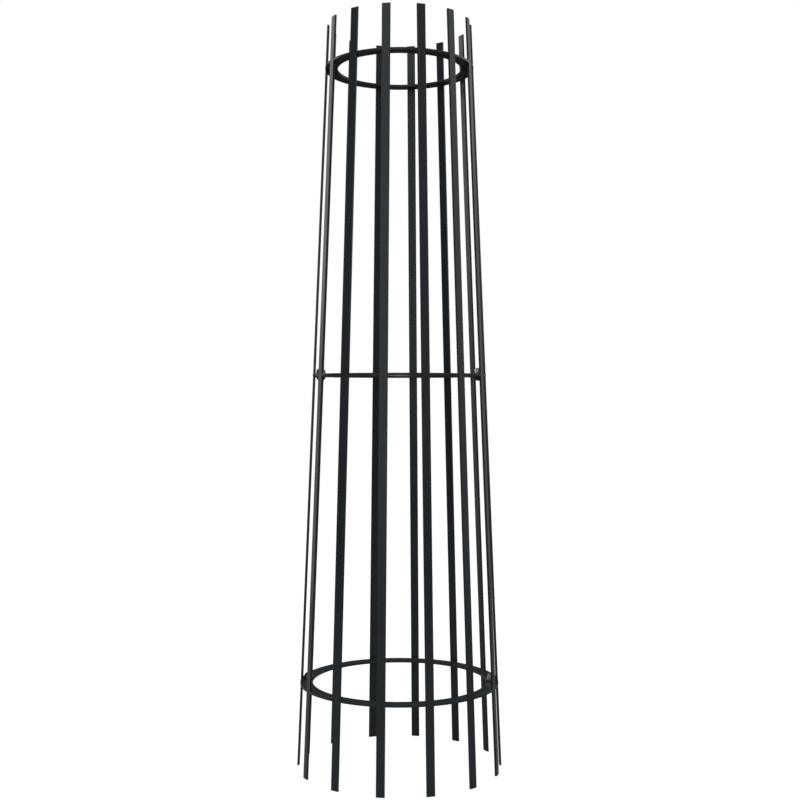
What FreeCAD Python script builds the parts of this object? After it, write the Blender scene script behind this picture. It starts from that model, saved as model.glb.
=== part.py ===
import FreeCAD, Part
import math
import os

# Tree guard: two half cages of leaning flat bars, each on three half rings,
# bolted together round a trunk. Millimetres. +Z is up, Z = 0 is at the feet of
# the bars, the Z axis is the cage's own axis. The front half is on the -Y side.

# Cage
guard_height = 1800.0
base_radius = 248.5        # axis to the outer face of a bar, at the feet
top_radius = 175.2         # the same at the top ends
bars_per_half = 7
half_span_deg = 160.0      # from the first to the last bar of one half

# Flat stock of the bars
bar_width = 20.0
bar_thickness = 5.0
bar_edge_radius = 0.8

# Rings of flat stock lying level
ring_width = 30.0
ring_thickness = 6.0
ring_edge_radius = 0.6
ring_proud = 0.8           # how far a ring stands out past the bars' outer faces
bottom_ring_height = 200.5  # feet of the bars to the underside of the ring
top_ring_drop = 109.5      # top of the bars down to the underside of the top ring
notch_gap = 0.15           # between a bar and its notch in the ring

# End lugs welded upright to the ends of the half rings
lug_thickness = 5.0
lug_below_ring = 10.0
lug_above_bolt = 7.0
lug_corner_radius = 10.0
lug_edge_chamfer = 0.4
lug_bar_gap = 1.0          # lug to the inner face of the bar beside it

# M8 bolts, nuts and washers
bolt_diameter = 8.0
bolt_hole_gap = 0.5        # radial, in the lugs
thread_pitch = 1.25
thread_depth = 0.7
thread_flat = 0.15         # flat left on each crest and each root
bolt_end = 5.0             # bolt showing past the nut
head_height = 5.3
across_flats = 13.0        # of bolt head and nut
hexagon_chamfer = 1.2      # taken off the corners, in radius
hexagon_chamfer_deg = 30.0
nut_height = 6.8
nut_running_gap = 0.05     # radial, between nut and bolt
nut_countersink = 0.5
washer_diameter = 15.0
washer_thickness = 1.6
washer_hole_gap = 0.3      # radial, round the bolt
washer_edge_chamfer = 0.3
turning_gap = 0.5          # nut corners to the top of the ring
bolt_edge_gap = 1.0        # washer to the inner edge of the lug

# Worked out from the sizes above
lean = (base_radius - top_radius) / guard_height
level_thickness = bar_thickness * math.sqrt(1.0 + lean * lean)
bar_pitch_deg = half_span_deg / (bars_per_half - 1)
seam_offset = bar_width / 2
corner_radius = across_flats / 2 / math.cos(math.radians(30.0))
fastener_radius = max(corner_radius, washer_diameter / 2)
bolt_rise = ring_thickness + turning_gap + fastener_radius
lug_top_rise = bolt_rise + lug_above_bolt
bolt_inset = bolt_edge_gap + washer_diameter / 2
stack = lug_thickness + washer_thickness
far = 2 * base_radius
top_ring_height = guard_height - top_ring_drop

# Bolt heads and nuts end up turned by this much when they are tight
hexagon_turns = {"bottom": 30.0, "middle": 0.0, "top": 0.0}

ring_levels = {
    "bottom": bottom_ring_height,
    "middle": (bottom_ring_height + top_ring_height) / 2,
    "top": top_ring_height,
}
seams = {"right": 1, "left": -1}

up = FreeCAD.Vector(0, 0, 1)
rearward = FreeCAD.Vector(0, 1, 0)
origin = FreeCAD.Vector(0, 0, 0)


def bar_radius(height):
    # axis to the outer face of a bar at this height
    return base_radius - lean * height


def ring_outer(level):
    return bar_radius(level + ring_thickness / 2) + ring_proud


def ring_inner(level):
    return ring_outer(level) - ring_width


def leaning_prism(outward, inward, sideways):
    # a bar on the +X side, grown by the three allowances
    outer_foot = base_radius + outward
    outer_top = top_radius + outward
    inner_foot = base_radius - level_thickness - inward
    inner_top = top_radius - level_thickness - inward
    side = -bar_width / 2 - sideways
    corners = [
        FreeCAD.Vector(inner_foot, side, 0),
        FreeCAD.Vector(outer_foot, side, 0),
        FreeCAD.Vector(outer_top, side, guard_height),
        FreeCAD.Vector(inner_top, side, guard_height),
    ]
    face = Part.Face(Part.makePolygon(corners + corners[:1]))
    return face.extrude(rearward * (bar_width + 2 * sideways))


def bar():
    solid = leaning_prism(0.0, 0.0, 0.0)
    long_edges = [e for e in solid.Edges if e.Length >= guard_height]
    return solid.makeFillet(bar_edge_radius, long_edges)


def front_angles():
    # directions of the front half's bars, from the left seam to the right one
    return [-180.0 + i * bar_pitch_deg for i in range(bars_per_half)]


def turned_about_z(shape, degrees):
    copy = shape.copy()
    copy.rotate(origin, up, degrees)
    return copy


def front_ring(level):
    # whole ring with rounded edges, cut to one half and notched for its bars
    outer = Part.makeCylinder(ring_outer(level), ring_thickness)
    inner = Part.makeCylinder(ring_inner(level), ring_thickness)
    ring = outer.cut(inner)
    round_edges = [e for e in ring.Edges if isinstance(e.Curve, Part.Circle)]
    ring = ring.makeFillet(ring_edge_radius, round_edges)
    ring.translate(FreeCAD.Vector(0, 0, level))
    for side in seams.values():
        end = -side * seam_offset - lug_thickness
        corner = FreeCAD.Vector(min(0.0, side * far), end, level - ring_thickness)
        ring = ring.cut(Part.makeBox(far, far, 3 * ring_thickness, corner))
    notch = leaning_prism(ring_width, notch_gap, notch_gap)
    for angle in front_angles():
        ring = ring.cut(turned_about_z(notch, angle))
    return ring


def lug(level, side, is_rear):
    # upright plate on one side of the seam plane, from the ring's inner edge
    # to just short of the bar beside it
    inner_edge = ring_inner(level)
    bottom = level - lug_below_ring
    top = level + lug_top_rise
    outer_edge = bar_radius(top) - level_thickness - lug_bar_gap
    width = outer_edge - inner_edge
    seam = -side * seam_offset
    start_x = inner_edge if side > 0 else -outer_edge
    start_y = seam if is_rear else seam - lug_thickness
    corner = FreeCAD.Vector(start_x, start_y, bottom)
    plate = Part.makeBox(width, lug_thickness, top - bottom, corner)
    across = [
        e for e in plate.Edges
        if abs(e.tangentAt(e.FirstParameter).y) > 0.9
    ]
    plate = plate.makeFillet(lug_corner_radius, across)
    free_y = start_y + lug_thickness if is_rear else start_y
    free_face = [f for f in plate.Faces if abs(f.CenterOfMass.y - free_y) < 0.01]
    plate = plate.makeChamfer(lug_edge_chamfer, free_face[0].Edges)
    hole = Part.makeCylinder(
        bolt_diameter / 2 + bolt_hole_gap,
        lug_thickness,
        FreeCAD.Vector(side * (inner_edge + bolt_inset), start_y, level + bolt_rise),
        rearward,
    )
    return plate.cut(hole)


def turned_profile(points):
    # solid turned about the Y axis from (radius, y) points
    corners = [FreeCAD.Vector(radius, y, 0) for radius, y in points]
    face = Part.Face(Part.makePolygon(corners + corners[:1]))
    return face.revolve(origin, rearward, 360)


def hexagon(start_y, length):
    # prism along Y with flats at the top and the bottom
    corners = []
    for i in range(6):
        angle = math.radians(60 * i)
        x = corner_radius * math.cos(angle)
        z = corner_radius * math.sin(angle)
        corners.append(FreeCAD.Vector(x, start_y, z))
    face = Part.Face(Part.makePolygon(corners + corners[:1]))
    return face.extrude(rearward * length)


def corner_cutter(start_y, end_y, chamfer_start, chamfer_end):
    # turned envelope that takes the corners off a hexagon at the chosen ends
    reach = corner_radius + hexagon_chamfer
    flat = corner_radius - hexagon_chamfer
    drop = (reach - flat) * math.tan(math.radians(hexagon_chamfer_deg))
    points = [(0.0, start_y)]
    if chamfer_start:
        points += [(flat, start_y), (reach, start_y + drop)]
    else:
        points += [(reach, start_y)]
    if chamfer_end:
        points += [(reach, end_y - drop), (flat, end_y)]
    else:
        points += [(reach, end_y)]
    points += [(0.0, end_y)]
    return turned_profile(points)


def bolt_shape():
    # seam plane at y = 0, head on the +Y side
    crest = bolt_diameter / 2
    root = crest - thread_depth
    head_start = stack
    head_end = head_start + head_height
    head = hexagon(head_start, head_height)
    head = head.common(corner_cutter(head_start, head_end, False, True))
    tip = -stack - nut_height - bolt_end
    turns = int((nut_height + bolt_end) / thread_pitch)
    flank = thread_pitch / 2 - thread_flat
    points = [(0.0, head_start), (crest, head_start)]
    y = tip + thread_depth + turns * thread_pitch
    for i in range(turns):
        root_start = y - flank
        root_end = root_start - thread_flat
        points += [(crest, y), (root, root_start)]
        points += [(root, root_end), (crest, root_end - flank)]
        y -= thread_pitch
    points += [(crest, tip + thread_depth), (root, tip), (0.0, tip)]
    return head.fuse(turned_profile(points)).removeSplitter()


def nut_shape():
    start = -stack - nut_height
    end = -stack
    bore = bolt_diameter / 2 + nut_running_gap
    mouth = bore + nut_countersink
    body = hexagon(start, nut_height).common(corner_cutter(start, end, True, True))
    opening = turned_profile([
        (0.0, start),
        (mouth, start),
        (bore, start + nut_countersink),
        (bore, end - nut_countersink),
        (mouth, end),
        (0.0, end),
    ])
    return body.cut(opening)


def washer_shape(start_y):
    outer = washer_diameter / 2
    inner = bolt_diameter / 2 + washer_hole_gap
    end_y = start_y + washer_thickness
    edge = washer_edge_chamfer
    return turned_profile([
        (inner, start_y),
        (outer - edge, start_y),
        (outer, start_y + edge),
        (outer, end_y - edge),
        (outer - edge, end_y),
        (inner, end_y),
    ])


def at_joint(shape, place, side):
    # turns a fastener and moves it from the Y axis to its bolt axis
    level = ring_levels[place]
    copy = shape.copy()
    copy.rotate(origin, rearward, hexagon_turns[place])
    x = side * (ring_inner(level) + bolt_inset)
    copy.translate(FreeCAD.Vector(x, -side * seam_offset, level + bolt_rise))
    return copy


def build():
    pieces = {}
    straight_bar = bar()
    for i, angle in enumerate(front_angles()):
        pieces["front_bar_%d" % (i + 1)] = turned_about_z(straight_bar, angle)
        pieces["rear_bar_%d" % (i + 1)] = turned_about_z(straight_bar, angle + 180.0)
    bolt = bolt_shape()
    nut = nut_shape()
    head_washer = washer_shape(lug_thickness)
    nut_washer = washer_shape(-stack)
    for place, level in ring_levels.items():
        ring = front_ring(level)
        pieces["front_ring_" + place] = ring
        pieces["rear_ring_" + place] = turned_about_z(ring, 180.0)
        for seam, side in seams.items():
            where = place + "_" + seam
            pieces["front_lug_" + where] = lug(level, side, False)
            pieces["rear_lug_" + where] = lug(level, side, True)
            pieces["bolt_" + where] = at_joint(bolt, place, side)
            pieces["nut_" + where] = at_joint(nut, place, side)
            pieces["head_washer_" + where] = at_joint(head_washer, place, side)
            pieces["nut_washer_" + where] = at_joint(nut_washer, place, side)
    return pieces


os.makedirs("parts", exist_ok=True)
for name, shape in build().items():
    shape.exportStep("parts/" + name + ".step")
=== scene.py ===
import bpy
import math
import numpy as np
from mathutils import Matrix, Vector


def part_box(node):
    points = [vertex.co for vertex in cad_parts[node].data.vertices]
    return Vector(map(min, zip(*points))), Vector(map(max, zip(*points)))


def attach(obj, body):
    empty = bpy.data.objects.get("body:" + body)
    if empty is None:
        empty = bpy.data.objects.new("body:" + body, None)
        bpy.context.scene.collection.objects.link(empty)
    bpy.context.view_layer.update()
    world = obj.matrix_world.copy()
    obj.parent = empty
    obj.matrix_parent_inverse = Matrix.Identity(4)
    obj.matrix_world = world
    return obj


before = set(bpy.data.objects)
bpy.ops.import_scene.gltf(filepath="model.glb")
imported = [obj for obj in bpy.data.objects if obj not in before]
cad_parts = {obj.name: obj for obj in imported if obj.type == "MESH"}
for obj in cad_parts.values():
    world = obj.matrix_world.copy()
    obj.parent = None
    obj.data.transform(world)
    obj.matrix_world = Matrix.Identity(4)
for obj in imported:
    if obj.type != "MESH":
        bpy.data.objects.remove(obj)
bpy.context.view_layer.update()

print("frame loaded:", len(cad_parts), "nodes")


def linearColour(text):
    # sRGB hex to linear: each channel c becomes ((c + 0.055) / 1.055) to the power 2.4
    channels = [int(text[i:i + 2], 16) / 255 for i in (1, 3, 5)]
    return [c / 12.92 if c <= 0.04045 else ((c + 0.055) / 1.055) ** 2.4 for c in channels] + [1.0]


def addNode(tree, kind, inputs=None, **settings):
    made = tree.nodes.new(kind)
    for key, value in settings.items():
        setattr(made, key, value)
    for key, value in (inputs or {}).items():
        if isinstance(value, bpy.types.NodeSocket):
            tree.links.new(value, made.inputs[key])
        else:
            made.inputs[key].default_value = value
    return made


def startMaterial(name):
    material = bpy.data.materials.new(name)
    material.use_nodes = True
    material.node_tree.nodes.clear()
    return material, material.node_tree


# dark grey powder coat on steel, sizes in mm
coatValues = {
    "dark": "#1a2025",
    "light": "#1d272c",
    "mottleSize": 70.0,  # slow drift of shade along a bar
    "mottleDetail": 3.0,
    "mottleBreakup": 0.55,
    "dustSize": 22.0,  # patches a little duller than the rest
    "dustDetail": 5.0,
    "dustBreakup": 0.6,
    "dustSpread": (0.3, 0.7),  # what the noise keeps to, stretched over the two roughnesses
    "smooth": 0.20,
    "rough": 0.29,
    "peelSize": 2.4,  # orange peel of the baked powder
    "peelDepth": 0.035,
    "peelDetail": 2.0,
    "peelBreakup": 0.45,
    "peelStrength": 0.6,
    "ior": 1.5,
}


def powderCoat(values):
    # polyester powder baked on steel: even dark grey, semi-gloss, with a fine orange peel that
    # breaks reflections up
    material, tree = startMaterial("semiGlossPowderCoat")
    place = addNode(tree, "ShaderNodeTexCoord").outputs["Object"]
    mottle = addNode(tree, "ShaderNodeTexNoise", {
        "Vector": place, "Scale": 1000 / values["mottleSize"],
        "Detail": values["mottleDetail"], "Roughness": values["mottleBreakup"]})
    colour = addNode(tree, "ShaderNodeMix", {
        0: mottle.outputs["Fac"], 6: linearColour(values["dark"]), 7: linearColour(values["light"])},
        data_type="RGBA")
    dust = addNode(tree, "ShaderNodeTexNoise", {
        "Vector": place, "Scale": 1000 / values["dustSize"],
        "Detail": values["dustDetail"], "Roughness": values["dustBreakup"]})
    low, high = values["dustSpread"]
    gloss = addNode(tree, "ShaderNodeMapRange", {
        "Value": dust.outputs["Fac"], "From Min": low, "From Max": high,
        "To Min": values["smooth"], "To Max": values["rough"]})
    peel = addNode(tree, "ShaderNodeTexNoise", {
        "Vector": place, "Scale": 1000 / values["peelSize"],
        "Detail": values["peelDetail"], "Roughness": values["peelBreakup"]})
    bump = addNode(tree, "ShaderNodeBump", {
        "Strength": values["peelStrength"], "Distance": values["peelDepth"] / 1000,
        "Height": peel.outputs["Fac"]})
    shader = addNode(tree, "ShaderNodeBsdfPrincipled", {
        "Base Color": colour.outputs[2], "Roughness": gloss.outputs["Result"],
        "Normal": bump.outputs["Normal"], "Metallic": 0.0, "IOR": values["ior"]})
    addNode(tree, "ShaderNodeOutputMaterial", {"Surface": shader.outputs["BSDF"]})
    return material


# bright zinc plate on steel fasteners, sizes in mm
zincValues = {
    "dark": "#c3c6c9",
    "light": "#e6e8ea",
    "patchSize": 3.0,  # cloudiness of the passivated plate
    "patchDetail": 4.0,
    "patchBreakup": 0.6,
    "patchSpread": (0.3, 0.7),  # what the noise keeps to, stretched over the two roughnesses
    "rough": 0.26,
    "smooth": 0.15,
    "grainSize": 0.35,  # of the blank under the plate
    "grainDepth": 0.008,
    "grainDetail": 2.0,
    "grainStrength": 0.5,
}


def zincPlate(values):
    # electroplated zinc with a clear passivate: light grey metal, slightly cloudy, with a fine grain
    # from the steel blank
    material, tree = startMaterial("brightZincPlate")
    place = addNode(tree, "ShaderNodeTexCoord").outputs["Object"]
    patch = addNode(tree, "ShaderNodeTexNoise", {
        "Vector": place, "Scale": 1000 / values["patchSize"],
        "Detail": values["patchDetail"], "Roughness": values["patchBreakup"]})
    colour = addNode(tree, "ShaderNodeMix", {
        0: patch.outputs["Fac"], 6: linearColour(values["dark"]), 7: linearColour(values["light"])},
        data_type="RGBA")
    low, high = values["patchSpread"]
    gloss = addNode(tree, "ShaderNodeMapRange", {
        "Value": patch.outputs["Fac"], "From Min": low, "From Max": high,
        "To Min": values["rough"], "To Max": values["smooth"]})
    grain = addNode(tree, "ShaderNodeTexNoise", {
        "Vector": place, "Scale": 1000 / values["grainSize"], "Detail": values["grainDetail"]})
    bump = addNode(tree, "ShaderNodeBump", {
        "Strength": values["grainStrength"], "Distance": values["grainDepth"] / 1000,
        "Height": grain.outputs["Fac"]})
    shader = addNode(tree, "ShaderNodeBsdfPrincipled", {
        "Base Color": colour.outputs[2], "Roughness": gloss.outputs["Result"],
        "Normal": bump.outputs["Normal"], "Metallic": 1.0})
    addNode(tree, "ShaderNodeOutputMaterial", {"Surface": shader.outputs["BSDF"]})
    return material


coat = powderCoat(coatValues)
zinc = zincPlate(zincValues)
plated = ("bolt_", "nut_", "head_washer_")  # nut_ takes in the nut_washer_ nodes
for name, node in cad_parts.items():
    node.material_slots[0].material = zinc if name.startswith(plated) else coat
print("finishes on the frame's pieces")


def meshPiece(name, points, faces, material, body):
    mesh = bpy.data.meshes.new(name)
    mesh.from_pydata(points.tolist(), [], faces)
    mesh.polygons.foreach_set("use_smooth", np.ones(len(mesh.polygons), bool))
    mesh.materials.append(material)
    mesh.update()
    piece = bpy.data.objects.new(name, mesh)
    bpy.context.scene.collection.objects.link(piece)
    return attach(piece, body)


# weld beads, sizes in metres; heights, the bars' width and their lean come from the frame
beadValues = {
    "halfSpan": 160.0,  # degrees from the first to the last bar of one half
    "barThickness": 0.005,
    "ringWidth": 0.030,
    "ringProud": 0.0008,  # how far a ring stands out past the bars' outer faces
    "lugThickness": 0.005,
    "lugWidth": 0.0225,
    "lugStart": 0.001,  # from the ring's inner edge to the bead under the ring
    "washerEnd": 0.0175,  # the same on top of the ring, clear of the washer
    "beadRadius": 0.0021,
    "beadShort": 0.0015,  # left bare at each end of a bar's bead
    "bluntPower": 8,  # how square the ends are
    "ripple": 0.05,  # share of the bead's radius
    "ripplePitch": 0.0015,
    "rippleShift": 5.1,  # radians from one bead to the next
    "crescent": 1.6,  # how far a ripple bends, in radians of its own wave
    "swell": 0.07,  # share of the bead's radius
    "swellPitch": 0.011,
    "swellShift": 1.7,  # radians from one bead to the next
    "alongSteps": 72,
    "roundSteps": 16,
}


def beadSurface(start, end, up, number, values):
    # a bead is a tube round a straight line: its radius is the bead radius times a blunt end curve,
    # the super-ellipse of the place along, times one plus two sines: the slow swell of the welder's
    # hand, and ripples that lag behind by the crescent value away from the bead's crest
    steps, turns = values["alongSteps"], values["roundSteps"]
    along = (np.arange(steps) + 0.5) / steps
    around = np.arange(turns) * 2 * np.pi / turns
    line = end - start
    length = np.linalg.norm(line)
    forward = line / length
    side = np.cross(up, forward)
    upright = np.cross(forward, side)
    travel = 2 * np.pi * along[:, None] * length
    lag = values["crescent"] * np.cos(2 * around - np.pi / 2)
    rippleWave = np.sin(travel / values["ripplePitch"] + lag + number * values["rippleShift"])
    swellWave = np.sin(travel / values["swellPitch"] + number * values["swellShift"])
    blunt = np.sqrt(1 - np.abs(2 * along - 1) ** values["bluntPower"])[:, None]
    wavy = 1 + values["ripple"] * rippleWave + values["swell"] * swellWave
    radius = (values["beadRadius"] * wavy * blunt)[:, :, None]
    spokes = np.cos(around)[:, None] * side + np.sin(around)[:, None] * upright
    tube = start + along[:, None, None] * line + radius * spokes
    return np.concatenate([tube.reshape(-1, 3), [start], [end]])


def beadFaces(first, values):
    # quads between neighbouring rounds and a fan of triangles on each end, all facing outwards
    steps, turns = values["alongSteps"], values["roundSteps"]
    i, j = np.meshgrid(np.arange(steps - 1), np.arange(turns), indexing="ij")
    k = (j + 1) % turns
    quads = np.stack([i * turns + j, i * turns + k, (i + 1) * turns + k, (i + 1) * turns + j], -1)
    j = np.arange(turns)
    k = (j + 1) % turns
    last = (steps - 1) * turns
    startPoint, endPoint = steps * turns, steps * turns + 1
    startFan = np.stack([np.full(turns, startPoint), k, j], -1)
    endFan = np.stack([np.full(turns, endPoint), last + j, last + k], -1)
    return [face for part in (quads.reshape(-1, 4), startFan, endFan) for face in (part + first).tolist()]


def weldLines(place, values):
    # lines of the front half's beads on one ring: across the inner face of each bar, below and above
    # the ring, and along the foot of each end lug
    ringLow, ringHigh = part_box("front_ring_" + place)
    # the bar on the +X side leans along X, from its outer face at the feet to its inner face at the top
    barLow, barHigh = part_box("rear_bar_1")
    width, height = barHigh.y - barLow.y, barHigh.z - barLow.z
    lean = (barHigh.x - barLow.x - values["barThickness"]) / height
    bars = sum(name.startswith("front_bar_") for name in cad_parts)
    middleHeight = (ringLow.z + ringHigh.z) / 2
    inner = barHigh.x - lean * middleHeight + values["ringProud"] - values["ringWidth"]
    half = width / 2 - values["beadShort"]
    lines = []
    for level, up, lugStart in ((ringLow.z, -1, "lugStart"), (ringHigh.z, 1, "washerEnd")):
        face = barHigh.x - lean * level - values["barThickness"]
        for number in range(bars):
            turn = math.radians(-180 + number * values["halfSpan"] / (bars - 1))
            outward = np.array([math.cos(turn), math.sin(turn), 0])
            across = np.array([-math.sin(turn), math.cos(turn), 0])
            middle = outward * face + np.array([0, 0, level])
            lines.append((middle - across * half, middle + across * half, up))
        for side in (1, -1):
            foot = -side * width / 2 - values["lugThickness"]
            near = np.array([side * (inner + values[lugStart]), foot, level])
            far = np.array([side * (inner + values["lugWidth"]), foot, level])
            lines.append((near, far, up))
    return lines


def addWelds(values):
    # the rear half's beads are the front half's, half a turn round the cage's axis
    pointsPerBead = values["alongSteps"] * values["roundSteps"] + 2
    for place in ("bottom", "middle", "top"):
        for half, turn in (("front", 1), ("rear", -1)):
            flip = np.array([turn, turn, 1])
            points, faces = [], []
            for number, (start, end, up) in enumerate(weldLines(place, values)):
                points.append(beadSurface(start * flip, end * flip, np.array([0, 0, up]), number, values))
                faces += beadFaces(number * pointsPerBead, values)
            name = half + "Welds" + place.capitalize()
            piece = meshPiece(name, np.concatenate(points), faces, coat, half + "_half")


addWelds(beadValues)
print("weld beads")


# camera, fitted to the bars and rings of the photograph
cameraValues = {
    "distance": 2.9002,  # from the cage's axis
    "height": 0.8994,
    "lens": 53.51,  # mm
    "sensor": 36.0,  # mm wide
    "pitchDown": 0.210,  # degrees
    "turnRight": 0.031,
}


def addCamera(values):
    data = bpy.data.cameras.new("photoCamera")
    data.lens = values["lens"]
    data.sensor_width = values["sensor"]
    data.dof.use_dof = False
    camera = bpy.data.objects.new("photoCamera", data)
    camera.location = (0, -values["distance"], values["height"])
    camera.rotation_euler = (math.radians(90 - values["pitchDown"]), 0, math.radians(-values["turnRight"]))
    bpy.context.scene.collection.objects.link(camera)
    bpy.context.scene.camera = camera


# soft light panels, in metres, each aimed at a height on the cage's axis; shine is their radiance
lampValues = {
    "leftHigh": {"place": (-2.55, 1.55, 2.385), "aimHeight": 1.5, "size": (1.9, 2.23), "shine": 1.04},
    "leftLow": {"place": (-2.3, 1.7, 0.65), "aimHeight": 0.7, "size": (1.3, 1.2), "shine": 0.51},
    "backRightHigh": {"place": (1.9, 2.4, 2.8), "aimHeight": 1.6, "size": (1.2, 1.2), "shine": 0.45},
    "backRightLow": {"place": (1.9, 2.4, 1.15), "aimHeight": 1.0, "size": (1.2, 2.1), "shine": 0.27},
    "rightHigh": {"place": (2.826, 0.98, 2.3), "aimHeight": 1.4, "size": (2.65, 2.2), "shine": 0.93},
    "rightLow": {"place": (3.0, -0.2, 0.6), "aimHeight": 0.6, "size": (1.0, 1.1), "shine": 0.4},
    "front": {"place": (-1.22, -3.38, 1.95), "aimHeight": 0.9, "size": (1.0, 3.6), "shine": 0.45},
    "behindCamera": {"place": (0, -4.3, 1.5), "aimHeight": 1.1, "size": (0.9, 2.4), "shine": 0.9},
    "top": {"place": (0, -1.8, 3.4), "aimHeight": 0.9, "size": (1.6, 1.6), "shine": 1.0},
    "topBack": {"place": (0, 1.3, 3.3), "aimHeight": 0.9, "size": (2.6, 1.6), "shine": 2.2},
}


def addLamp(name, values):
    data = bpy.data.lights.new(name, "AREA")
    data.shape = "RECTANGLE"
    data.size, data.size_y = values["size"]
    data.energy = values["shine"] * math.pi * data.size * data.size_y  # watts for that radiance
    lamp = bpy.data.objects.new(name, data)
    lamp.location = values["place"]
    aim = Vector((0, 0, values["aimHeight"])) - lamp.location
    lamp.rotation_euler = aim.to_track_quat("-Z", "Y").to_euler()
    bpy.context.scene.collection.objects.link(lamp)


# floor, in metres from the cage's axis; the camera sees one card, mirrors and matt surfaces another, a
# grey one with painted shade that darkens it towards the back right and far off
floorValues = {
    "reach": 12.0,
    "paleCard": "#f2f2f0",  # what the camera sees
    "white": 0.78,  # share of plain white in that, the rest takes the shadow
    "glow": 1.08,  # brings the open floor up to the white behind it
    "nearCard": "#8a8a88",  # what the cage mirrors and is lit by, close to its feet
    "sideShadeCard": "#6a6a68",  # painted shade: a darker grey towards the back right
    "sideWay": (0.6, 0.8, 0),
    "sideStart": -0.1,  # along sideWay
    "sideEnd": 0.3,
    "farShadeCard": "#303030",  # painted shade: near black where the floor runs off into the dark room
    "nearEnd": 1.5,
    "farStart": 5.5,
}


def addFloor(values):
    # the camera sees a pale card, mostly plain white, that keeps the soft shadow, and the cage mirrors a
    # grey one with painted shade, darker towards the back right and far off
    material, tree = startMaterial("paleStudioFloor")
    path = addNode(tree, "ShaderNodeLightPath")
    place = addNode(tree, "ShaderNodeTexCoord").outputs["Object"]
    away = addNode(tree, "ShaderNodeVectorMath", {0: place}, operation="LENGTH")
    fade = addNode(tree, "ShaderNodeMapRange", {
        "Value": away.outputs["Value"], "From Min": values["nearEnd"], "From Max": values["farStart"]},
        interpolation_type="SMOOTHSTEP")
    along = addNode(tree, "ShaderNodeVectorMath", {0: place, 1: values["sideWay"]},
                    operation="DOT_PRODUCT")
    turn = addNode(tree, "ShaderNodeMapRange", {
        "Value": along.outputs["Value"], "From Min": values["sideStart"], "From Max": values["sideEnd"]})
    # painted shade on the grey card the cage mirrors: darker towards the back right, then darker still far
    # off
    near = addNode(tree, "ShaderNodeMix", {
        0: turn.outputs["Result"],
        6: linearColour(values["nearCard"]), 7: linearColour(values["sideShadeCard"])},
        data_type="RGBA")
    mirrored = addNode(tree, "ShaderNodeMix", {
        0: fade.outputs["Result"], 6: near.outputs[2], 7: linearColour(values["farShadeCard"])},
        data_type="RGBA")
    colour = addNode(tree, "ShaderNodeMix", {
        0: path.outputs["Is Camera Ray"],
        6: mirrored.outputs[2], 7: linearColour(values["paleCard"])},
        data_type="RGBA")
    card = addNode(tree, "ShaderNodeBsdfDiffuse", {"Color": colour.outputs[2]})
    white = addNode(tree, "ShaderNodeEmission", {"Color": (1, 1, 1, 1), "Strength": values["glow"]})
    share = addNode(tree, "ShaderNodeMath", {0: path.outputs["Is Camera Ray"], 1: values["white"]},
                    operation="MULTIPLY")
    mix = addNode(tree, "ShaderNodeMixShader", {
        0: share.outputs[0], 1: card.outputs[0], 2: white.outputs[0]})
    addNode(tree, "ShaderNodeOutputMaterial", {"Surface": mix.outputs[0]})
    mesh = bpy.data.meshes.new("studioFloor")
    reach = values["reach"]
    corners = [(-reach, -reach, 0), (reach, -reach, 0), (reach, reach, 0), (-reach, reach, 0)]
    mesh.from_pydata(corners, [], [(0, 1, 2, 3)])
    mesh.materials.append(material)
    floor = bpy.data.objects.new("studioFloor", mesh)
    bpy.context.scene.collection.objects.link(floor)


# the room all round, as strengths of plain white
roomValues = {
    "matt": 0.85,  # even light for matt surfaces
    "front": 0.29,  # what gloss mirrors on the camera's side
    "back": 0.05,  # and behind the object
    "fade": (-1.0, 0.3),  # from the one to the other, as the Y of the direction
}


def addRoom(values):
    # white all round for the camera, even light for matt surfaces, and for gloss the dim room
    # between the light panels
    world = bpy.data.worlds.new("whiteStudio")
    bpy.context.scene.world = world
    world.use_nodes = True
    tree = world.node_tree
    tree.nodes.clear()
    path = addNode(tree, "ShaderNodeLightPath")
    place = addNode(tree, "ShaderNodeTexCoord")
    parts = addNode(tree, "ShaderNodeSeparateXYZ", {"Vector": place.outputs["Generated"]})
    fadeStart, fadeEnd = values["fade"]
    mirrored = addNode(tree, "ShaderNodeMapRange", {
        "Value": parts.outputs["Y"], "From Min": fadeStart, "From Max": fadeEnd,
        "To Min": values["front"], "To Max": values["back"]}, interpolation_type="SMOOTHSTEP")
    glossy = addNode(tree, "ShaderNodeMix", {
        0: path.outputs["Is Glossy Ray"], 2: values["matt"], 3: mirrored.outputs["Result"]})
    clear = addNode(tree, "ShaderNodeMath", {
        0: path.outputs["Is Camera Ray"], 1: path.outputs["Is Transmission Ray"]},
        operation="MAXIMUM")
    seen = addNode(tree, "ShaderNodeMix", {0: clear.outputs[0], 2: glossy.outputs[0], 3: 1.0})
    back = addNode(tree, "ShaderNodeBackground", {"Color": (1, 1, 1, 1), "Strength": seen.outputs[0]})
    addNode(tree, "ShaderNodeOutputWorld", {"Surface": back.outputs[0]})


addCamera(cameraValues)
for lampName, lampPlan in lampValues.items():
    addLamp(lampName, lampPlan)
addFloor(floorValues)
addRoom(roomValues)
bpy.context.scene.view_settings.view_transform = "Standard"
print("camera, lights and floor")
